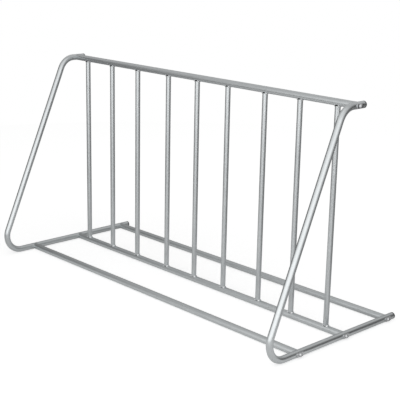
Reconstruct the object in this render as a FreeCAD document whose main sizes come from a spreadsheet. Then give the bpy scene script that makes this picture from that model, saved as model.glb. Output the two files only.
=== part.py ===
import FreeCAD, Part
import math
import os

import Sketcher
from FreeCAD import Placement, Rotation, Vector

# Floor bike rack of round steel tube. Two bent end frames stand parallel, four rails
# run between them, and nine uprights in three groups of three make the wheel slots.
# Millimetres. X runs along the rails, -Y is the front, where the wheels go in, and
# Z is up. The origin is on the floor, under the middle of the rack.

doc = FreeCAD.newDocument("floor_bike_rack")

# ---------------------------------------------------------------------------
# Driving dimensions
# ---------------------------------------------------------------------------

SIZES = (
    # Whole rack, between tube axes
    ("frame_spacing", "1550"),         # left end frame to right end frame
    ("top_rise", "819"),               # floor rails up to the top rail
    ("rail_offset", "244"),            # middle rail to the front rail and to the rear rail
    ("floor_bend_start", "316"),       # middle rail forward to where the floor bend starts
    ("top_bend_start", "21.7"),        # top rail forward to where the top bend starts
    ("bend_radius", "69"),             # both bends of a frame, on the tube's axis
    ("floor_tail", "38.5"),            # rear rail back to the tube's cut end
    ("top_tail", "31.5"),              # top rail back to the tube's cut end
    # Tubes
    ("tube_diameter", "25"),           # frames and rails
    ("tube_wall", "2"),
    ("upright_diameter", "20"),
    ("upright_wall", "1.5"),
    # Uprights along the rails
    ("group_count", "3"),
    ("uprights_per_group", "3"),
    ("upright_pitch", "168"),          # between neighbours in a group
    ("group_gap", "190"),              # last of one group to first of the next
    # Rail ends, cut to a saddle against the frame tubes
    ("cope_gap", "0.1"),               # saddle to frame tube
    ("cope_blunt", "4"),               # tips of the saddle end this far before the frame's axis
    # Weld beads at the ends of the uprights
    ("weld_gap", "0.05"),              # bead to tube, and upright to rail
    ("weld_leg", "3.6"),               # bead up the upright and out along the rail
    ("weld_bulge", "4.2"),             # radius of the bead's face
    ("weld_arc", "104"),               # degrees of the upright's rim that one bead covers
    # Bolted joints
    ("bolt_diameter", "8"),
    ("bolt_length", "45"),             # under the head
    ("bolt_tip_bevel", "1"),
    ("bolt_head_diameter", "15"),
    ("bolt_head_height", "6"),
    ("bolt_head_rim", "1"),            # straight edge below the dome
    ("bolt_head_dome", "7"),           # radius of the dome's shoulder
    ("bolt_head_flat", "6.6"),         # diameter of the flat on top
    ("socket_width", "5"),             # hexagon, across flats
    ("socket_depth", "3.5"),
    ("bolt_hole_diameter", "8.8"),     # through both walls of a frame tube, and the washer
    ("washer_length", "34"),           # along the frame tube
    ("washer_width", "15"),
    ("washer_corner", "4"),
    ("washer_thickness", "2.2"),       # at the crest of the tube
    ("washer_bevel", "0.5"),
    ("seat_gap", "0.05"),              # washer to tube, and insert or plug to bore
    ("insert_length", "25"),
    ("insert_bevel", "1"),
    ("thread_gap", "0.05"),            # bolt to insert, all round
    # Plastic end plugs
    ("plug_head", "6"),
    ("plug_edge", "2"),                # rounding of the head's rim
    ("plug_shank", "18"),
    ("plug_wall", "2"),
    ("plug_rib_height", "0.7"),
    ("plug_rib_pitch", "5"),
)

sheet = doc.addObject("Spreadsheet::Sheet", "Sizes")
for row, (alias, number) in enumerate(SIZES, start=1):
    sheet.set(f"A{row}", alias)
    sheet.set(f"B{row}", number)
    sheet.setAlias(f"B{row}", alias)
doc.recompute()

# Expressions that several pieces share
TUBE_RADIUS = "Sizes.tube_diameter / 2"
TUBE_BORE = "(Sizes.tube_diameter - 2 * Sizes.tube_wall)"
UPRIGHT_RADIUS = "Sizes.upright_diameter / 2"
FRAME_X = "Sizes.frame_spacing / 2"
FRONT_REACH = "(Sizes.floor_bend_start + Sizes.bend_radius + Sizes.tube_diameter / 2)"
REAR_REACH = "(Sizes.rail_offset + Sizes.floor_tail + Sizes.plug_head)"
MIDDLE_Y = f"({FRONT_REACH} - {REAR_REACH}) / 2"
RAIL_Z = TUBE_RADIUS
TOP_Z = f"({RAIL_Z} + Sizes.top_rise)"

# The four rails, and so the four joints of each frame: name, Y and Z of the axis
RAILS = (
    ("front", f"{MIDDLE_Y} - Sizes.rail_offset", RAIL_Z),
    ("middle", MIDDLE_Y, RAIL_Z),
    ("rear", f"{MIDDLE_Y} + Sizes.rail_offset", RAIL_Z),
    ("top", MIDDLE_Y, TOP_Z),
)

# The two sides: name, X of the frame's axis, and the turn that points +X outwards
SIDES = (
    ("left", f"-{FRAME_X}", 180),
    ("right", FRAME_X, 0),
)

pieces = []


def size(expression):
    """Number that an expression of the sheet gives now."""
    return float(sheet.evalExpression(expression))


def new_body(name, x, y, z, turn=Rotation()):
    """Empty body whose place follows three expressions."""
    body = doc.addObject("PartDesign::Body", name)
    body.Label = name
    body.AllowCompound = True
    body.Placement = Placement(Vector(), turn)
    body.setExpression("Placement.Base.x", x)
    body.setExpression("Placement.Base.y", y)
    body.setExpression("Placement.Base.z", z)
    return body


def origin_feature(body, role):
    """Plane or axis of a body's own origin."""
    return next(item for item in body.Origin.OriginFeatures if item.Role == role)


def new_sketch(body, role, name):
    """Sketch on one of the body's origin planes."""
    sketch = body.newObject("Sketcher::SketchObject", name)
    sketch.AttachmentSupport = [(origin_feature(body, role), "")]
    sketch.MapMode = "FlatFace"
    return sketch


def bind(sketch, kind, where, expression):
    """Constraint whose value follows an expression."""
    constraint = Sketcher.Constraint(kind, *where, size(expression))
    number = sketch.addConstraint(constraint)
    sketch.setExpression(f"Constraints[{number}]", expression)


def add_circle(sketch, diameter, x="0", y="0"):
    """Circle whose diameter and centre follow expressions."""
    circle = Part.Circle(Vector(size(x), size(y), 0), Vector(0, 0, 1), size(diameter) / 2)
    index = sketch.addGeometry(circle, False)
    bind(sketch, "Diameter", (index,), diameter)
    bind(sketch, "DistanceX", (-1, 1, index, 3), x)
    bind(sketch, "DistanceY", (-1, 1, index, 3), y)


def arc_between(start, end, radius):
    """Arc that runs anticlockwise from start to end."""
    chord = end - start
    depth = math.sqrt(radius ** 2 - (chord.Length / 2) ** 2)
    towards_centre = Vector(-chord.y, chord.x, 0).normalize()
    centre = (start + end) * 0.5 + towards_centre * depth
    first = math.atan2(start.y - centre.y, start.x - centre.x)
    last = math.atan2(end.y - centre.y, end.x - centre.x)
    return Part.ArcOfCircle(Part.Circle(centre, Vector(0, 0, 1), radius), first, last)


def add_outline(sketch, corners):
    """Closed outline through corners (x, y), given anticlockwise as expressions.

    A third entry is the radius of an outward arc that leads to that corner.
    """
    points = [Vector(size(corner[0]), size(corner[1]), 0) for corner in corners]
    edges = []
    for number, corner in enumerate(corners):
        start = points[number - 1]
        end = points[number]
        if len(corner) == 3:
            curve = arc_between(start, end, size(corner[2]))
        else:
            curve = Part.LineSegment(start, end)
        edges.append(sketch.addGeometry(curve, False))
    for number, corner in enumerate(corners):
        edge = edges[number]
        following = edges[(number + 1) % len(edges)]
        sketch.addConstraint(Sketcher.Constraint("Coincident", edge, 2, following, 1))
        bind(sketch, "DistanceX", (-1, 1, edge, 2), corner[0])
        bind(sketch, "DistanceY", (-1, 1, edge, 2), corner[1])
        if len(corner) == 3:
            bind(sketch, "Radius", (edge,), corner[2])


def pad(body, sketch, length, name, side="One side"):
    """Sketch pushed out to a length that follows an expression."""
    feature = body.newObject("PartDesign::Pad", name)
    feature.Profile = sketch
    feature.SideType = side
    feature.setExpression("Length", length)
    sketch.Visibility = False
    return feature


def cut_through(body, sketch, name):
    """Sketch cut through all of the body, both ways."""
    feature = body.newObject("PartDesign::Pocket", name)
    feature.Profile = sketch
    feature.SideType = "Symmetric"
    feature.Type = "ThroughAll"
    sketch.Visibility = False
    return feature


def revolve(body, sketch, axis, name, angle="360", midplane=False):
    """Sketch turned about an axis of the body's origin."""
    feature = body.newObject("PartDesign::Revolution", name)
    feature.Profile = sketch
    feature.ReferenceAxis = (origin_feature(body, axis), [""])
    feature.Midplane = midplane
    feature.setExpression("Angle", angle)
    sketch.Visibility = False
    return feature


def add_tube_section(sketch, diameter, wall):
    """Ring of a tube's section, centred on the sketch's origin."""
    add_circle(sketch, diameter)
    add_circle(sketch, f"{diameter} - 2 * {wall}")


# ---------------------------------------------------------------------------
# End frames
# ---------------------------------------------------------------------------


def draw_frame_path(path):
    """Axis of the bent tube, from the floor run's rear end to the top run's rear end.

    Sketch X is the rack's Y, measured from the middle rail, and sketch Y is its height
    above the floor rails. The leg is the line that touches both bends from outside.
    """
    radius = size("Sizes.bend_radius")
    rise = size("Sizes.top_rise")
    floor_centre = Vector(-size("Sizes.floor_bend_start"), radius, 0)
    top_centre = Vector(-size("Sizes.top_bend_start"), rise - radius, 0)
    between = top_centre - floor_centre
    leg_angle = math.atan2(between.y, between.x)
    outwards = Vector(-math.sin(leg_angle), math.cos(leg_angle), 0) * radius
    floor_end = Vector(size("Sizes.rail_offset + Sizes.floor_tail"), 0, 0)
    top_end = Vector(size("Sizes.top_tail"), rise, 0)
    normal = Vector(0, 0, 1)
    leg_turn = leg_angle + math.pi / 2

    floor_run = path.addGeometry(Part.LineSegment(floor_end, Vector(floor_centre.x, 0, 0)))
    floor_bend = path.addGeometry(
        Part.ArcOfCircle(Part.Circle(floor_centre, normal, radius), leg_turn, 1.5 * math.pi)
    )
    leg = path.addGeometry(Part.LineSegment(floor_centre + outwards, top_centre + outwards))
    top_bend = path.addGeometry(
        Part.ArcOfCircle(Part.Circle(top_centre, normal, radius), math.pi / 2, leg_turn)
    )
    top_run = path.addGeometry(Part.LineSegment(Vector(top_centre.x, rise, 0), top_end))

    smooth_joins = (
        (floor_run, 2, floor_bend, 2),
        (floor_bend, 1, leg, 1),
        (leg, 2, top_bend, 2),
        (top_bend, 1, top_run, 1),
    )
    for join in smooth_joins:
        path.addConstraint(Sketcher.Constraint("Tangent", *join))
    path.addConstraint(Sketcher.Constraint("PointOnObject", floor_run, 1, -1))
    path.addConstraint(Sketcher.Constraint("Horizontal", floor_run))
    path.addConstraint(Sketcher.Constraint("Horizontal", top_run))
    bind(path, "Radius", (floor_bend,), "Sizes.bend_radius")
    bind(path, "Radius", (top_bend,), "Sizes.bend_radius")
    bind(path, "DistanceX", (-1, 1, floor_run, 1), "Sizes.rail_offset + Sizes.floor_tail")
    bind(path, "DistanceX", (-1, 1, floor_bend, 3), "-Sizes.floor_bend_start")
    bind(path, "DistanceX", (-1, 1, top_bend, 3), "-Sizes.top_bend_start")
    bind(path, "DistanceX", (-1, 1, top_run, 2), "Sizes.top_tail")
    bind(path, "DistanceY", (-1, 1, top_run, 2), "Sizes.top_rise")


def end_frame(name, x):
    """One bent tube with a bolt hole across it at each of the four rails."""
    body = new_body(name, x, MIDDLE_Y, RAIL_Z)

    path = new_sketch(body, "YZ_Plane", f"{name}_path")
    draw_frame_path(path)
    section = new_sketch(body, "XZ_Plane", f"{name}_section")
    section.setExpression("AttachmentOffset.Base.z", "-(Sizes.rail_offset + Sizes.floor_tail)")
    add_tube_section(section, "Sizes.tube_diameter", "Sizes.tube_wall")
    tube = body.newObject("PartDesign::AdditivePipe", f"{name}_tube")
    tube.Profile = section
    tube.Spine = path
    path.Visibility = False
    section.Visibility = False

    holes = new_sketch(body, "YZ_Plane", f"{name}_holes")
    add_circle(holes, "Sizes.bolt_hole_diameter", "-Sizes.rail_offset", "0")
    add_circle(holes, "Sizes.bolt_hole_diameter", "0", "0")
    add_circle(holes, "Sizes.bolt_hole_diameter", "Sizes.rail_offset", "0")
    add_circle(holes, "Sizes.bolt_hole_diameter", "0", "Sizes.top_rise")
    cut_through(body, holes, f"{name}_bolt_holes")
    return body


for side, frame_x, _turn in SIDES:
    pieces.append(end_frame(f"end_frame_{side}", frame_x))

# ---------------------------------------------------------------------------
# Rails
# ---------------------------------------------------------------------------


def rail(name, y, z):
    """Straight tube whose ends are cut to the round of the frame tubes."""
    body = new_body(name, "0", y, z)
    section = new_sketch(body, "YZ_Plane", f"{name}_section")
    add_tube_section(section, "Sizes.tube_diameter", "Sizes.tube_wall")
    length = "Sizes.frame_spacing - 2 * Sizes.cope_blunt"
    pad(body, section, length, f"{name}_tube", side="Symmetric")

    saddles = new_sketch(body, "XZ_Plane", f"{name}_saddles")
    saddle_diameter = "Sizes.tube_diameter + 2 * Sizes.cope_gap"
    add_circle(saddles, saddle_diameter, f"-{FRAME_X}", "0")
    add_circle(saddles, saddle_diameter, FRAME_X, "0")
    cut_through(body, saddles, f"{name}_saddle_cuts")
    return body


for place, rail_y, rail_z in RAILS:
    pieces.append(rail(f"{place}_rail", rail_y, rail_z))

# ---------------------------------------------------------------------------
# Uprights and their weld beads
# ---------------------------------------------------------------------------

GROUP_PITCH = "((Sizes.uprights_per_group - 1) * Sizes.upright_pitch + Sizes.group_gap)"
UPRIGHT_SPAN = (
    f"((Sizes.group_count - 1) * {GROUP_PITCH}"
    " + (Sizes.uprights_per_group - 1) * Sizes.upright_pitch)"
)
FIRST_UPRIGHT_X = f"-{UPRIGHT_SPAN} / 2"


def upright(number, group, place):
    """Straight tube, cut square, that stands on the middle rail."""
    name = f"upright_{number}"
    x = f"{FIRST_UPRIGHT_X} + {group} * {GROUP_PITCH} + {place} * Sizes.upright_pitch"
    foot = f"{RAIL_Z} + Sizes.tube_diameter / 2 + Sizes.weld_gap"
    body = new_body(name, x, MIDDLE_Y, foot)
    section = new_sketch(body, "XY_Plane", f"{name}_section")
    add_tube_section(section, "Sizes.upright_diameter", "Sizes.upright_wall")
    length = "Sizes.top_rise - Sizes.tube_diameter - 2 * Sizes.weld_gap"
    pad(body, section, length, f"{name}_tube")
    return body


def upright_welds(name, rail_z, turn):
    """Beads on one rail, two at each upright, to its left and right.

    A bead is a ring segment about the upright, cut from below by the rail's surface.
    The body's Z points away from the rail, and its X starts at the first upright.
    """
    body = new_body(name, FIRST_UPRIGHT_X, MIDDLE_Y, rail_z, turn)
    profile = new_sketch(body, "XZ_Plane", f"{name}_profile")
    inner = f"{UPRIGHT_RADIUS} + Sizes.weld_gap"
    outer = f"{UPRIGHT_RADIUS} + Sizes.weld_gap + Sizes.weld_leg"
    crest = f"{TUBE_RADIUS} + Sizes.weld_gap"
    add_outline(
        profile,
        (
            (inner, "0"),
            (outer, "0"),
            (outer, crest),
            (inner, f"{crest} + Sizes.weld_leg", "Sizes.weld_bulge"),
        ),
    )
    revolve(body, profile, "Z_Axis", f"{name}_bead", "Sizes.weld_arc", midplane=True)

    # Each copy below repeats all that the body holds so far.
    both_sides = body.newObject("PartDesign::Mirrored", f"{name}_both_sides")
    both_sides.TransformMode = "Whole shape"
    both_sides.MirrorPlane = (origin_feature(body, "YZ_Plane"), [""])
    body.Tip = both_sides
    steps = (
        ("group", "Sizes.uprights_per_group", "Sizes.upright_pitch"),
        ("groups", "Sizes.group_count", GROUP_PITCH),
    )
    for step, count, spacing in steps:
        pattern = body.newObject("PartDesign::LinearPattern", f"{name}_{step}")
        pattern.TransformMode = "Whole shape"
        pattern.Direction = (origin_feature(body, "X_Axis"), [""])
        pattern.Mode = "Spacing"
        pattern.setExpression("Occurrences", count)
        pattern.setExpression("Offset", spacing)
        body.Tip = pattern

    surface = new_sketch(body, "YZ_Plane", f"{name}_surface")
    add_circle(surface, "Sizes.tube_diameter + 2 * Sizes.weld_gap")
    cut_through(body, surface, f"{name}_rail_cut")
    return body


upright_number = 0
for group_index in range(int(size("Sizes.group_count"))):
    for place_index in range(int(size("Sizes.uprights_per_group"))):
        upright_number += 1
        pieces.append(upright(upright_number, group_index, place_index))

pieces.append(upright_welds("upright_welds_bottom", RAIL_Z, Rotation()))
pieces.append(upright_welds("upright_welds_top", TOP_Z, Rotation(Vector(1, 0, 0), 180)))

# ---------------------------------------------------------------------------
# Bolted joints: local +X points out of the rack, from the frame tube's axis
# ---------------------------------------------------------------------------

HEAD_X = "Sizes.tube_diameter / 2 + Sizes.seat_gap + Sizes.washer_thickness"


def bolt(name, x, y, z, turn):
    """Domed bolt with a hexagon socket, whose head sits on the saddle washer."""
    body = new_body(name, x, y, z, turn)
    profile = new_sketch(body, "XY_Plane", f"{name}_profile")
    tip = f"{HEAD_X} - Sizes.bolt_length"
    shank = "Sizes.bolt_diameter / 2"
    rim = "Sizes.bolt_head_diameter / 2"
    top = f"{HEAD_X} + Sizes.bolt_head_height"
    add_outline(
        profile,
        (
            (tip, "0"),
            (top, "0"),
            (top, "Sizes.bolt_head_flat / 2"),
            (f"{HEAD_X} + Sizes.bolt_head_rim", rim, "Sizes.bolt_head_dome"),
            (HEAD_X, rim),
            (HEAD_X, shank),
            (f"{tip} + Sizes.bolt_tip_bevel", shank),
            (tip, f"{shank} - Sizes.bolt_tip_bevel"),
        ),
    )
    revolve(body, profile, "X_Axis", f"{name}_turned")

    socket = new_sketch(body, "YZ_Plane", f"{name}_socket")
    socket.setExpression("AttachmentOffset.Base.z", top)
    half_flat = "Sizes.socket_width / 2"
    corner = f"{half_flat} / cos(30deg)"
    half_corner = f"{half_flat} * tan(30deg)"
    add_outline(
        socket,
        (
            (corner, "0"),
            (half_corner, half_flat),
            (f"-{half_corner}", half_flat),
            (f"-{corner}", "0"),
            (f"-{half_corner}", f"-{half_flat}"),
            (half_corner, f"-{half_flat}"),
        ),
    )
    recess = body.newObject("PartDesign::Pocket", f"{name}_recess")
    recess.Profile = socket
    recess.setExpression("Length", "Sizes.socket_depth")
    socket.Visibility = False
    return body


def saddle_washer(name, x, y, z, turn):
    """Washer with a flat outer face and a hollow inner face that fits the frame tube."""
    body = new_body(name, x, y, z, turn)
    outline = new_sketch(body, "YZ_Plane", f"{name}_outline")
    far_y = "Sizes.washer_length / 2"
    far_z = "Sizes.washer_width / 2"
    near_y = f"({far_y} - Sizes.washer_corner)"
    near_z = f"({far_z} - Sizes.washer_corner)"
    add_outline(
        outline,
        (
            (far_y, near_z),
            (near_y, far_z, "Sizes.washer_corner"),
            (f"-{near_y}", far_z),
            (f"-{far_y}", near_z, "Sizes.washer_corner"),
            (f"-{far_y}", f"-{near_z}"),
            (f"-{near_y}", f"-{far_z}", "Sizes.washer_corner"),
            (near_y, f"-{far_z}"),
            (far_y, f"-{near_z}", "Sizes.washer_corner"),
        ),
    )
    plate = pad(body, outline, HEAD_X, f"{name}_plate")
    doc.recompute()
    outer_face = size(HEAD_X)
    outer_edges = [
        f"Edge{number}"
        for number, edge in enumerate(plate.Shape.Edges, start=1)
        if edge.BoundBox.XMin > outer_face - size("Sizes.seat_gap")
    ]
    bevel = body.newObject("PartDesign::Chamfer", f"{name}_bevel")
    bevel.Base = (plate, outer_edges)
    bevel.setExpression("Size", "Sizes.washer_bevel")

    saddle = new_sketch(body, "XZ_Plane", f"{name}_saddle")
    add_circle(saddle, "Sizes.tube_diameter + 2 * Sizes.seat_gap")
    cut_through(body, saddle, f"{name}_saddle_cut")
    hole = new_sketch(body, "YZ_Plane", f"{name}_hole")
    add_circle(hole, "Sizes.bolt_hole_diameter")
    cut_through(body, hole, f"{name}_hole_cut")
    return body


def rail_insert(name, x, y, z, turn):
    """Threaded plug in the end of a rail, bored for the bolt's thread."""
    body = new_body(name, x, y, z, turn)
    profile = new_sketch(body, "XY_Plane", f"{name}_profile")
    near = f"-({TUBE_RADIUS} + Sizes.cope_gap)"
    far = f"{near} - Sizes.insert_length"
    bore = "(Sizes.bolt_diameter / 2 + Sizes.thread_gap)"
    outside = f"({TUBE_BORE} / 2 - Sizes.seat_gap)"
    add_outline(
        profile,
        (
            (far, f"{bore} + Sizes.insert_bevel / 2"),
            (f"{far} + Sizes.insert_bevel / 2", bore),
            (f"{near} - Sizes.insert_bevel / 2", bore),
            (near, f"{bore} + Sizes.insert_bevel / 2"),
            (near, f"{outside} - Sizes.insert_bevel"),
            (f"{near} - Sizes.insert_bevel", outside),
            (f"{far} + Sizes.insert_bevel", outside),
            (far, f"{outside} - Sizes.insert_bevel"),
        ),
    )
    revolve(body, profile, "X_Axis", f"{name}_turned")
    return body


def group(name, members):
    """Like pieces that share a node and stay separate solids."""
    compound = doc.addObject("Part::Compound", name)
    compound.Label = name
    compound.Links = members
    return compound


for side, frame_x, turn in SIDES:
    outwards = Rotation(Vector(0, 0, 1), turn)
    bolts = []
    washers = []
    for place, joint_y, joint_z in RAILS:
        where = (frame_x, joint_y, joint_z, outwards)
        bolts.append(bolt(f"bolt_{place}_{side}", *where))
        washers.append(saddle_washer(f"washer_{place}_{side}", *where))
        pieces.append(rail_insert(f"rail_insert_{place}_{side}", *where))
    pieces.append(group(f"frame_bolts_{side}", bolts))
    pieces.append(group(f"saddle_washers_{side}", washers))

# ---------------------------------------------------------------------------
# End plugs: local +Y points out of the tube, from its cut end
# ---------------------------------------------------------------------------


def end_plug(name, x, y, z):
    """Plastic plug with a rounded head and a ribbed, hollow shank inside the tube."""
    body = new_body(name, x, y, z)
    profile = new_sketch(body, "XY_Plane", f"{name}_profile")
    rim = TUBE_RADIUS
    rib = f"({TUBE_BORE} / 2 - Sizes.seat_gap)"
    shank = f"({rib} - Sizes.plug_rib_height)"
    hollow = f"({shank} - Sizes.plug_wall)"
    corners = (
        ("0", "0"),
        (hollow, "0"),
        (hollow, "-Sizes.plug_shank"),
        (f"{shank} - Sizes.plug_rib_height", "-Sizes.plug_shank"),
        (rib, "-3 * Sizes.plug_rib_pitch"),
        (shank, "-3 * Sizes.plug_rib_pitch"),
        (rib, "-2 * Sizes.plug_rib_pitch"),
        (shank, "-2 * Sizes.plug_rib_pitch"),
        (rib, "-Sizes.plug_rib_pitch"),
        (shank, "-Sizes.plug_rib_pitch"),
        (shank, "0"),
        (rim, "0"),
        (rim, "Sizes.plug_head - Sizes.plug_edge"),
        (f"{rim} - Sizes.plug_edge", "Sizes.plug_head", "Sizes.plug_edge"),
        ("0", "Sizes.plug_head"),
    )
    add_outline(profile, corners)
    revolve(body, profile, "Y_Axis", f"{name}_turned")
    return body


for side, frame_x, _turn in SIDES:
    top_y = f"{MIDDLE_Y} + Sizes.top_tail"
    floor_y = f"{MIDDLE_Y} + Sizes.rail_offset + Sizes.floor_tail"
    pieces.append(end_plug(f"end_plug_top_{side}", frame_x, top_y, TOP_Z))
    pieces.append(end_plug(f"end_plug_floor_{side}", frame_x, floor_y, RAIL_Z))

# ---------------------------------------------------------------------------
# Check and write
# ---------------------------------------------------------------------------

doc.recompute()
for item in doc.Objects:
    if "Invalid" in item.State or "Error" in item.State:
        raise RuntimeError(f"{item.Label} failed: {item.State}")
for piece in pieces:
    if piece.Shape.isNull() or not piece.Shape.isValid():
        raise RuntimeError(f"{piece.Label} has no valid shape")

os.makedirs("parts", exist_ok=True)
for piece in pieces:
    piece.Shape.exportStep(f"parts/{piece.Label}.step")
    print(f"{piece.Label}: {len(piece.Shape.Solids)} solids, {piece.Shape.Volume / 1000:.1f} cm3")
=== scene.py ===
import math

import bpy
from mathutils import Matrix, Vector


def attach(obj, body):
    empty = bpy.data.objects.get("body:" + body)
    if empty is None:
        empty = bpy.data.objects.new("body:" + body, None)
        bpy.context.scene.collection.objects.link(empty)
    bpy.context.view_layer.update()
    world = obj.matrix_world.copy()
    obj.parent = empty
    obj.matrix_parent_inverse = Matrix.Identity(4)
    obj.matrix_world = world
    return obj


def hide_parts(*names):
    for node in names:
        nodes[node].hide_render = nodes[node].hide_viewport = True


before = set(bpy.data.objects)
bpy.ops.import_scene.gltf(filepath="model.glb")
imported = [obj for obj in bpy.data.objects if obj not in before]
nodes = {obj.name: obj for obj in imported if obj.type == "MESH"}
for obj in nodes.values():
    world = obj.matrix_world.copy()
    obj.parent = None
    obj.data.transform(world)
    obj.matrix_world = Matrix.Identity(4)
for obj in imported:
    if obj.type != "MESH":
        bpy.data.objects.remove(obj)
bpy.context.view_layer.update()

# ---------------------------------------------------------------------------
# End frames: one steel tube at each end, galvanised as a strip, rolled, seam
# welded and then cold bent into a foot, a leaning leg and a short top tail.
# The zinc has a satin sheen, with fine lines along the tube from the rolls.
# ---------------------------------------------------------------------------
ZINC_DARK, ZINC_LIGHT = (0.555, 0.577, 0.585, 1), (0.66, 0.685, 0.694, 1)
DARKEST_UP_TO, LIGHTEST_FROM = 0.32, 0.86
LINE_SHARE, CLOUD_SHARE, CRYSTAL_SHARE = 0.55, 0.35, 0.1
LINES_PER_METRE, LINE_STRETCH = 520, 60
CRYSTALS_PER_METRE, CLOUDS_PER_METRE = 210, 14
SMOOTHEST_ZINC, ROUGHEST_ZINC = 0.27, 0.32
SMOOTHEST_CRYSTAL, ROUGHEST_CRYSTAL = -0.004, 0.01
TOP_RISE, BEND_RADIUS = 0.819, 0.069
FLOOR_BEND_START, TOP_BEND_START = 0.316, 0.0217
LEG_LEAN = math.atan2(TOP_RISE - 2 * BEND_RADIUS, FLOOR_BEND_START - TOP_BEND_START)
FOOT_ENDS, LEG_STARTS, LEG_ENDS, TAIL_STARTS = 0.02, 0.07, 0.775, 0.83
# Most of a noise lies between these two levels
NOISE_LOW, NOISE_HIGH = 0.3, 0.7


def new_material(name, metallic):
    """Gives a material, its node tree and its surface shader."""
    material = bpy.data.materials.new(name)
    material.use_nodes = True
    shader = material.node_tree.nodes["Principled BSDF"]
    shader.inputs["Metallic"].default_value = metallic
    return material, material.node_tree, shader


def add_node(tree, kind, values=(), **settings):
    """Adds a shader node, sets its properties and then its named inputs."""
    added = tree.nodes.new(kind)
    for name, value in settings.items():
        setattr(added, name, value)
    for socket, value in values:
        added.inputs[socket].default_value = value
    return added


def place_on_object(tree):
    """Gives the place on the object, in metres from the shared origin."""
    return add_node(tree, "ShaderNodeTexCoord").outputs["Object"]


def height_on_object(tree):
    """Gives the height above the object's floor."""
    parts = add_node(tree, "ShaderNodeSeparateXYZ")
    tree.links.new(place_on_object(tree), parts.inputs["Vector"])
    return parts.outputs["Z"]


def worked_out(tree, operation, *terms):
    """Gives a sum or a product of terms, each a number or a node's output."""
    result = add_node(tree, "ShaderNodeMath", operation=operation)
    for socket, term in zip(result.inputs, terms):
        if isinstance(term, (int, float)):
            socket.default_value = term
        else:
            tree.links.new(term, socket)
    return result.outputs["Value"]


def between(tree, value, low, high, least, most):
    """Carries a value from one range to another, and no further."""
    ranged = add_node(tree, "ShaderNodeMapRange", values=[
        ("From Min", low), ("From Max", high), ("To Min", least), ("To Max", most)])
    tree.links.new(value, ranged.inputs["Value"])
    return ranged.outputs["Result"]


def blended(tree, share, first, second):
    """Goes from the first value to the second as the share goes from 0 to 1."""
    blend = add_node(tree, "ShaderNodeMix", data_type="FLOAT")
    tree.links.new(share, blend.inputs["Factor"])
    tree.links.new(first, blend.inputs["A"])
    tree.links.new(second, blend.inputs["B"])
    return blend.outputs["Result"]


def noise(tree, place, per_metre, detail, roughness=0.5):
    """Gives a soft noise, with this many features to the metre."""
    pattern = add_node(tree, "ShaderNodeTexNoise", values=[
        ("Scale", per_metre), ("Detail", detail), ("Roughness", roughness)])
    tree.links.new(place, pattern.inputs["Vector"])
    return pattern.outputs["Fac"]


def two_tones(tree, value, dark, light, low=NOISE_LOW, high=NOISE_HIGH):
    """Gives a colour that goes from dark to light as the value rises."""
    ramp = add_node(tree, "ShaderNodeValToRGB")
    for stop, position, colour in zip(ramp.color_ramp.elements, (low, high), (dark, light)):
        stop.position = position
        stop.color = colour
    tree.links.new(value, ramp.inputs["Fac"])
    return ramp.outputs["Color"]


def relief(tree, height, strength, depth):
    """Gives a surface direction that follows fine marks of some depth."""
    marks = add_node(tree, "ShaderNodeBump", values=[("Strength", strength), ("Distance", depth)])
    tree.links.new(height, marks.inputs["Height"])
    return marks.outputs["Normal"]


def fine_lines(tree, turn):
    """Lines about 2 mm apart and a hand's breadth long, turned to follow the tube."""
    lengthwise = add_node(
        tree, "ShaderNodeMapping", vector_type="TEXTURE",
        values=[("Rotation", turn), ("Scale", (LINE_STRETCH, 1, 1))])
    tree.links.new(place_on_object(tree), lengthwise.inputs["Vector"])
    return noise(tree, lengthwise.outputs["Vector"], LINES_PER_METRE, detail=4, roughness=0.6)


def frame_lines(tree):
    """The foot and the tail run along Y, and the leg between them leans."""
    height = height_on_object(tree)
    leaves_foot = between(tree, height, FOOT_ENDS, LEG_STARTS, 0, 1)
    meets_tail = between(tree, height, LEG_ENDS, TAIL_STARTS, 1, 0)
    on_leg = worked_out(tree, "MULTIPLY", leaves_foot, meets_tail)
    level_lines = fine_lines(tree, (0, 0, math.pi / 2))
    leaning_lines = fine_lines(tree, (LEG_LEAN, 0, math.pi / 2))
    return blended(tree, on_leg, level_lines, leaning_lines)


def zinc_tube(name, drawn_lines):
    """Strip-galvanised tube: fine crystals, drawn lines and a soft sheen."""
    finish, tree, shader = new_material(name, metallic=1)
    link = tree.links.new
    lines = drawn_lines(tree)
    place = place_on_object(tree)
    cloud = noise(tree, place, CLOUDS_PER_METRE, detail=3, roughness=0.55)
    crystals = add_node(tree, "ShaderNodeTexVoronoi", values=[("Scale", CRYSTALS_PER_METRE)])
    link(place, crystals.inputs["Vector"])
    crystal = add_node(tree, "ShaderNodeSeparateColor")
    link(crystals.outputs["Color"], crystal.inputs["Color"])

    # Most of the tone is lines and cloud, the rest the crystals
    tone = between(tree, crystal.outputs["Red"], 0, 1, 0, CRYSTAL_SHARE)
    tone = worked_out(tree, "MULTIPLY_ADD", lines, LINE_SHARE, tone)
    tone = worked_out(tree, "MULTIPLY_ADD", cloud, CLOUD_SHARE, tone)
    colour = two_tones(tree, tone, ZINC_DARK, ZINC_LIGHT, DARKEST_UP_TO, LIGHTEST_FROM)
    link(colour, shader.inputs["Base Color"])

    line_sheen = between(tree, lines, NOISE_LOW, NOISE_HIGH, SMOOTHEST_ZINC, ROUGHEST_ZINC)
    crystal_sheen = between(tree, crystal.outputs["Green"], 0, 1, SMOOTHEST_CRYSTAL, ROUGHEST_CRYSTAL)
    link(worked_out(tree, "ADD", line_sheen, crystal_sheen), shader.inputs["Roughness"])
    link(relief(tree, lines, strength=0.06, depth=0.0002), shader.inputs["Normal"])
    return finish


def dress(names, finish):
    """Gives CAD pieces a material in place of the plain one they come with."""
    for name in names:
        nodes[name].data.materials.clear()
        nodes[name].data.materials.append(finish)


dress(["end_frame_left", "end_frame_right"], zinc_tube("frame_zinc", frame_lines))

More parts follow.
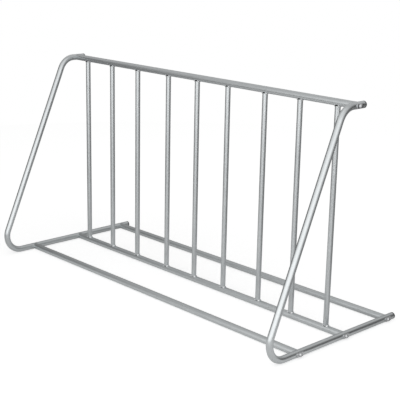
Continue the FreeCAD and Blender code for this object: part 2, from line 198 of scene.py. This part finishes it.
# ---------------------------------------------------------------------------
# Rails: three straight tubes on the floor and one along the top, of the same
# galvanised tube as the end frames, bolted between them. Lines run along X.
# ---------------------------------------------------------------------------
dress(
    ["front_rail", "middle_rail", "rear_rail", "top_rail"],
    zinc_tube("rail_zinc", lambda tree: fine_lines(tree, (0, 0, 0))))

# ---------------------------------------------------------------------------
# Uprights: nine thinner tubes, cut square at both ends, that stand between the
# middle rail and the top rail and are welded to both. Their lines run along Z.
# ---------------------------------------------------------------------------
dress(
    [f"upright_{number}" for number in range(1, 10)],
    zinc_tube("upright_zinc", lambda tree: fine_lines(tree, (0, math.pi / 2, 0))))

# ---------------------------------------------------------------------------
# Welds: a bead on two sides of each end of each upright, of mild steel laid by
# hand in overlapping ripples, fused to both tubes and brushed, so that it glints.
# ---------------------------------------------------------------------------
WELD_DARK, WELD_LIGHT = (0.66, 0.67, 0.68, 1), (0.88, 0.89, 0.90, 1)
SMOOTHEST_WELD, ROUGHEST_WELD = 0.14, 0.28
BEAD_ARC = math.radians(104)
BEAD_RADIUS, BEAD_OUT, BEAD_ABOVE = 0.0026, 0.0009, 0.0009
BEAD_SINKS_IN = 0.0006
BEAD_LEG = 0.0036
BEAD_END_SQUARENESS = 8
RIPPLE_PITCH, RIPPLE_HEIGHT, RIPPLE_CURVE = 0.0011, 0.09, 0.3
UNEVEN_HEIGHT, UNEVEN_WAVES, UNEVEN_SHIFT = 0.03, 5, 1.7
BEAD_RINGS, BEAD_SIDES = 114, 12


def node_box(name):
    """Gives the lowest and the highest corner of a node."""
    corners = [nodes[name].matrix_world @ Vector(corner) for corner in nodes[name].bound_box]
    low = Vector([min(corner[axis] for corner in corners) for axis in range(3)])
    high = Vector([max(corner[axis] for corner in corners) for axis in range(3)])
    return low, high


first_low, first_high = node_box("upright_1")
UPRIGHT_RADIUS = (first_high.x - first_low.x) / 2


def bead_reach(angle, along, wobble):
    """Distance from the bead's middle to its skin, cut flat inside both tubes."""
    rounded_end = math.sqrt(1 - along ** BEAD_END_SQUARENESS)
    turns = along * BEAD_ARC / 2 * UPRIGHT_RADIUS / RIPPLE_PITCH
    ripple = abs(math.sin(math.pi * (turns - RIPPLE_CURVE * math.cos(angle - math.pi / 4))))
    uneven = UNEVEN_HEIGHT * math.sin(UNEVEN_WAVES * along + UNEVEN_SHIFT * wobble)
    reach = BEAD_RADIUS * (1 - RIPPLE_HEIGHT + RIPPLE_HEIGHT * ripple + uneven)
    if math.cos(angle) < 0:
        reach = min(reach, (BEAD_OUT + BEAD_SINKS_IN) / -math.cos(angle))
    if math.sin(angle) < 0:
        reach = min(reach, (BEAD_ABOVE + BEAD_SINKS_IN) / -math.sin(angle))
    return reach * rounded_end


def weld_bead(number, side, rail, upward):
    """One bead round a side of an upright: a ball drawn out along the joint."""
    low, high = node_box(f"upright_{number}")
    upright_x = (low.x + high.x) / 2
    rail_low, rail_high = node_box(rail)
    rail_middle = (rail_low + rail_high) / 2
    rail_radius = (rail_high.z - rail_low.z) / 2
    bpy.ops.object.select_all(action="DESELECT")
    bpy.ops.mesh.primitive_uv_sphere_add(
        segments=BEAD_SIDES, ring_count=BEAD_RINGS, radius=1, location=(0, 0, 0))
    bead = bpy.context.active_object
    for vertex in bead.data.vertices:
        ring = math.acos(max(-1, min(1, vertex.co.z))) / math.pi
        along = 2 * round(ring * BEAD_RINGS) / BEAD_RINGS - 1
        angle = math.atan2(vertex.co.y, vertex.co.x)
        reach = bead_reach(angle, along, 2 * number + side)
        out = UPRIGHT_RADIUS + BEAD_OUT + reach * math.cos(angle)
        turn = along * BEAD_ARC / 2
        falls = rail_radius - math.sqrt(rail_radius ** 2 - (UPRIGHT_RADIUS * math.sin(turn)) ** 2)
        height = BEAD_ABOVE + reach * math.sin(angle)
        if height > 0:
            height *= 1 + falls / BEAD_LEG
        height += math.sqrt(rail_radius ** 2 - (out * math.sin(turn)) ** 2)
        vertex.co = (
            upright_x + side * out * math.cos(turn),
            rail_middle.y + side * upward * out * math.sin(turn),
            rail_middle.z + upward * height,
        )
    bpy.ops.object.mode_set(mode="EDIT")
    bpy.ops.mesh.select_all(action="SELECT")
    bpy.ops.mesh.normals_make_consistent(inside=False)
    bpy.ops.object.mode_set(mode="OBJECT")
    return bead


weld_metal, tree, shader = new_material("weld_metal", metallic=1)
link = tree.links.new
grain = noise(tree, place_on_object(tree), per_metre=700, detail=4)
link(two_tones(tree, grain, WELD_DARK, WELD_LIGHT), shader.inputs["Base Color"])
sheen = between(tree, grain, NOISE_LOW, NOISE_HIGH, SMOOTHEST_WELD, ROUGHEST_WELD)
link(sheen, shader.inputs["Roughness"])
link(relief(tree, grain, strength=0.35, depth=0.0002), shader.inputs["Normal"])

for end, rail, upward in (("bottom", "middle_rail", 1), ("top", "top_rail", -1)):
    beads = [weld_bead(number, side, rail, upward) for number in range(1, 10) for side in (-1, 1)]
    bpy.ops.object.select_all(action="DESELECT")
    for bead in beads:
        bead.select_set(True)
    bpy.context.view_layer.objects.active = beads[0]
    bpy.ops.object.join()
    bpy.ops.object.shade_smooth()
    beads[0].name = f"weld_beads_{end}"
    beads[0].data.materials.clear()
    beads[0].data.materials.append(weld_metal)
    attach(beads[0], "root")
    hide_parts(f"upright_welds_{end}")

# ---------------------------------------------------------------------------
# Fasteners: bolts with domed heads and saddle washers, pressed from steel and
# zinc plated in a barrel, which leaves a soft bloom and fine scuffs on them.
# ---------------------------------------------------------------------------


def small_steel(name, dark, light, smoothest, roughest):
    """Steel of a small part, cloudy in tone and sheen, with fine scuffs."""
    finish, tree, shader = new_material(name, metallic=1)
    place = place_on_object(tree)
    bloom = noise(tree, place, per_metre=260, detail=4)
    scuffs = noise(tree, place, per_metre=1500, detail=2)
    tree.links.new(two_tones(tree, bloom, dark, light), shader.inputs["Base Color"])
    sheen = between(tree, bloom, NOISE_LOW, NOISE_HIGH, smoothest, roughest)
    tree.links.new(sheen, shader.inputs["Roughness"])
    tree.links.new(relief(tree, scuffs, strength=0.2, depth=0.0001), shader.inputs["Normal"])
    return finish


plated_zinc = small_steel(
    "plated_zinc", dark=(0.50, 0.51, 0.52, 1), light=(0.64, 0.65, 0.66, 1), smoothest=0.2, roughest=0.32)
dress(
    ["frame_bolts_left", "frame_bolts_right", "saddle_washers_left", "saddle_washers_right"],
    plated_zinc)

# ---------------------------------------------------------------------------
# Rail inserts: turned from free-cutting steel and left oiled and bare, pressed
# into the rail ends for the bolts, where nothing outside shows them.
# ---------------------------------------------------------------------------
turned_steel = small_steel(
    "turned_steel", dark=(0.38, 0.37, 0.36, 1), light=(0.50, 0.49, 0.47, 1), smoothest=0.25, roughest=0.4)
dress([name for name in nodes if name.startswith("rail_insert")], turned_steel)

# ---------------------------------------------------------------------------
# End plugs: ribbed caps pressed into the open tube ends, moulded in black
# polyethylene, with a fine spark-eroded grain on the faces that show.
# ---------------------------------------------------------------------------
PLASTIC_DARK, PLASTIC_LIGHT = (0.012, 0.012, 0.013, 1), (0.028, 0.028, 0.029, 1)
SMOOTHEST_PLASTIC, ROUGHEST_PLASTIC, PLASTIC_SHINE = 0.42, 0.56, 0.25

plug_plastic, tree, shader = new_material("plug_plastic", metallic=0)
link = tree.links.new
shader.inputs["Specular IOR Level"].default_value = PLASTIC_SHINE
grain = noise(tree, place_on_object(tree), per_metre=1400, detail=3)
link(two_tones(tree, grain, PLASTIC_DARK, PLASTIC_LIGHT, low=0, high=1), shader.inputs["Base Color"])
sheen = between(tree, grain, NOISE_LOW, NOISE_HIGH, SMOOTHEST_PLASTIC, ROUGHEST_PLASTIC)
link(sheen, shader.inputs["Roughness"])
link(relief(tree, grain, strength=0.3, depth=0.0002), shader.inputs["Normal"])
dress([name for name in nodes if name.startswith("end_plug")], plug_plastic)

# ---------------------------------------------------------------------------
# Studio: a pale floor with a pool of light painted on it, and a soft light tent
# round the object, brightest in front and to the right, as the bands of light along the tubes ask for.
# ---------------------------------------------------------------------------
FLOOR_RADIUS, TENT_RADIUS = 3.5, 3.6
# Painted light: the floor's paint is pale in a pool in front and to the right and dark further off, light
# and shade painted on the floor that the tubes show in their reflections
PAINTED_POOL_TONE, PAINTED_DIM_TONE = 0.62, 0.12
PAINTED_POOL_MIDDLE, PAINTED_POOL_REACH, PAINTED_POOL_FADE = (0.6, -0.85, 0), (2.4, 1.5, 1), 0.45
PAINTED_POOL_TURN = math.radians(-33.6)
FLOOR_LIT, FLOOR_WHITE = 0.76, 1.035
GLOSS_TOP_UP = 0.2
WALL_LIGHT = 1.6
TOP_LIGHT, TOP_SHARE = 0.56, 0.3
TOP_START, TOP_FULL = 0.42, 0.68
# The wall's light by bearing, in degrees from the front towards the right: full from
# the front to the front right, nearly none at the right rear, dim behind and at left
WALL_STEPS = (
    (-90, 0.1), (-60, 0.1), (-26, 0.64), (5, 1), (65, 1),
    (110, 0.24), (130, 0.03), (170, 0.3), (270, 0.1))

bpy.ops.object.select_all(action="DESELECT")
bpy.ops.mesh.primitive_circle_add(
    vertices=96, radius=FLOOR_RADIUS, fill_type="NGON", location=(0, 0, 0))
floor = bpy.context.active_object
floor.name = "studio_floor"
floor_paint, tree, shader = new_material("floor_paint", metallic=0)
link = tree.links.new
shader.inputs["Roughness"].default_value = 1.0
shader.inputs["Specular IOR Level"].default_value = 0.0
shader.inputs["Emission Color"].default_value = (1, 1, 1, 1)
# A painted pool of light: pale paint round a middle in front and to the right, fading to dark paint
# further off
painted_pool_place = add_node(tree, "ShaderNodeMapping", vector_type="TEXTURE", values=[
    ("Location", PAINTED_POOL_MIDDLE), ("Rotation", (0, 0, PAINTED_POOL_TURN)), ("Scale", PAINTED_POOL_REACH)])
link(place_on_object(tree), painted_pool_place.inputs["Vector"])
painted_pool = add_node(tree, "ShaderNodeTexGradient", gradient_type="SPHERICAL")
link(painted_pool_place.outputs["Vector"], painted_pool.inputs["Vector"])
tone = between(tree, painted_pool.outputs["Fac"], 0, PAINTED_POOL_FADE, PAINTED_DIM_TONE, PAINTED_POOL_TONE)
link(tone, shader.inputs["Base Color"])
# The camera sees what the paint throws back, topped up to white, so shadows stay
ray = add_node(tree, "ShaderNodeLightPath").outputs
to_white = worked_out(tree, "MULTIPLY_ADD", tone, -FLOOR_LIT, FLOOR_WHITE)
seen = worked_out(tree, "MULTIPLY", ray["Is Camera Ray"], to_white)
mirrored = worked_out(tree, "ADD", ray["Is Glossy Ray"], ray["Is Transmission Ray"])
white = worked_out(tree, "MULTIPLY_ADD", mirrored, GLOSS_TOP_UP, seen)
link(white, shader.inputs["Emission Strength"])
floor.data.materials.append(floor_paint)

bpy.ops.object.select_all(action="DESELECT")
bpy.ops.mesh.primitive_uv_sphere_add(segments=72, ring_count=36, radius=TENT_RADIUS, location=(0, 0, 0))
tent = bpy.context.active_object
tent.name = "light_tent"
bpy.ops.object.mode_set(mode="EDIT")
bpy.ops.mesh.select_all(action="SELECT")
bpy.ops.mesh.bisect(plane_co=(0, 0, 0), plane_no=(0, 0, 1), clear_inner=True)
bpy.ops.object.mode_set(mode="OBJECT")
tent_light, tree, shader = new_material("tent_light", metallic=0)
link = tree.links.new
tree.nodes.remove(shader)
around = add_node(tree, "ShaderNodeTexGradient", gradient_type="RADIAL")
link(place_on_object(tree), around.inputs["Vector"])
wall = add_node(tree, "ShaderNodeValToRGB")
while len(wall.color_ramp.elements) < len(WALL_STEPS):
    wall.color_ramp.elements.new(0.5)
for stop, (bearing, brightness) in zip(wall.color_ramp.elements, WALL_STEPS):
    stop.position = (bearing - WALL_STEPS[0][0]) / 360
    stop.color = (brightness, brightness, brightness, 1)
link(around.outputs["Fac"], wall.inputs["Fac"])
wall_level = worked_out(tree, "MULTIPLY", wall.outputs["Color"], WALL_LIGHT)
top_level = worked_out(tree, "MULTIPLY_ADD", wall_level, TOP_SHARE, TOP_LIGHT)
overhead = between(
    tree, height_on_object(tree), TOP_START * TENT_RADIUS, TOP_FULL * TENT_RADIUS, 0, 1)
glow = add_node(tree, "ShaderNodeEmission")
link(blended(tree, overhead, wall_level, top_level), glow.inputs["Strength"])
link(glow.outputs["Emission"], tree.nodes["Material Output"].inputs["Surface"])
tent.data.materials.append(tent_light)
tent.visible_camera = False
tent.visible_transmission = False

# Past the floor's edge the camera sees a white world
world = bpy.data.worlds.new("studio")
bpy.context.scene.world = world
world.use_nodes = True
background = world.node_tree.nodes["Background"]
background.inputs["Color"].default_value = (1, 1, 1, 1)
background.inputs["Strength"].default_value = 1.0

# ---------------------------------------------------------------------------
# Camera: where the photograph was taken from, fitted to the lines of the tubes
# in it. It stands 3.8 m off to the front right, half a metre above the top rail.
# ---------------------------------------------------------------------------
CAMERA_PLACE = (2.8212, -2.60125, 1.3942)
LENS, SENSOR_WIDTH = 90.73, 36
AZIMUTH = math.radians(46.451)
ELEVATION = math.radians(15.173)
ROLL = math.radians(1.141)

camera_data = bpy.data.cameras.new("photo_camera")
camera_data.lens = LENS
camera_data.sensor_width = SENSOR_WIDTH
camera = bpy.data.objects.new("photo_camera", camera_data)
bpy.context.scene.collection.objects.link(camera)
camera.matrix_world = (
    Matrix.Translation(Vector(CAMERA_PLACE))
    @ Matrix.Rotation(AZIMUTH, 4, "Z")
    @ Matrix.Rotation(math.pi / 2 - ELEVATION, 4, "X")
    @ Matrix.Rotation(ROLL, 4, "Z")
)
bpy.context.scene.camera = camera
bpy.context.scene.view_settings.view_transform = "Standard"
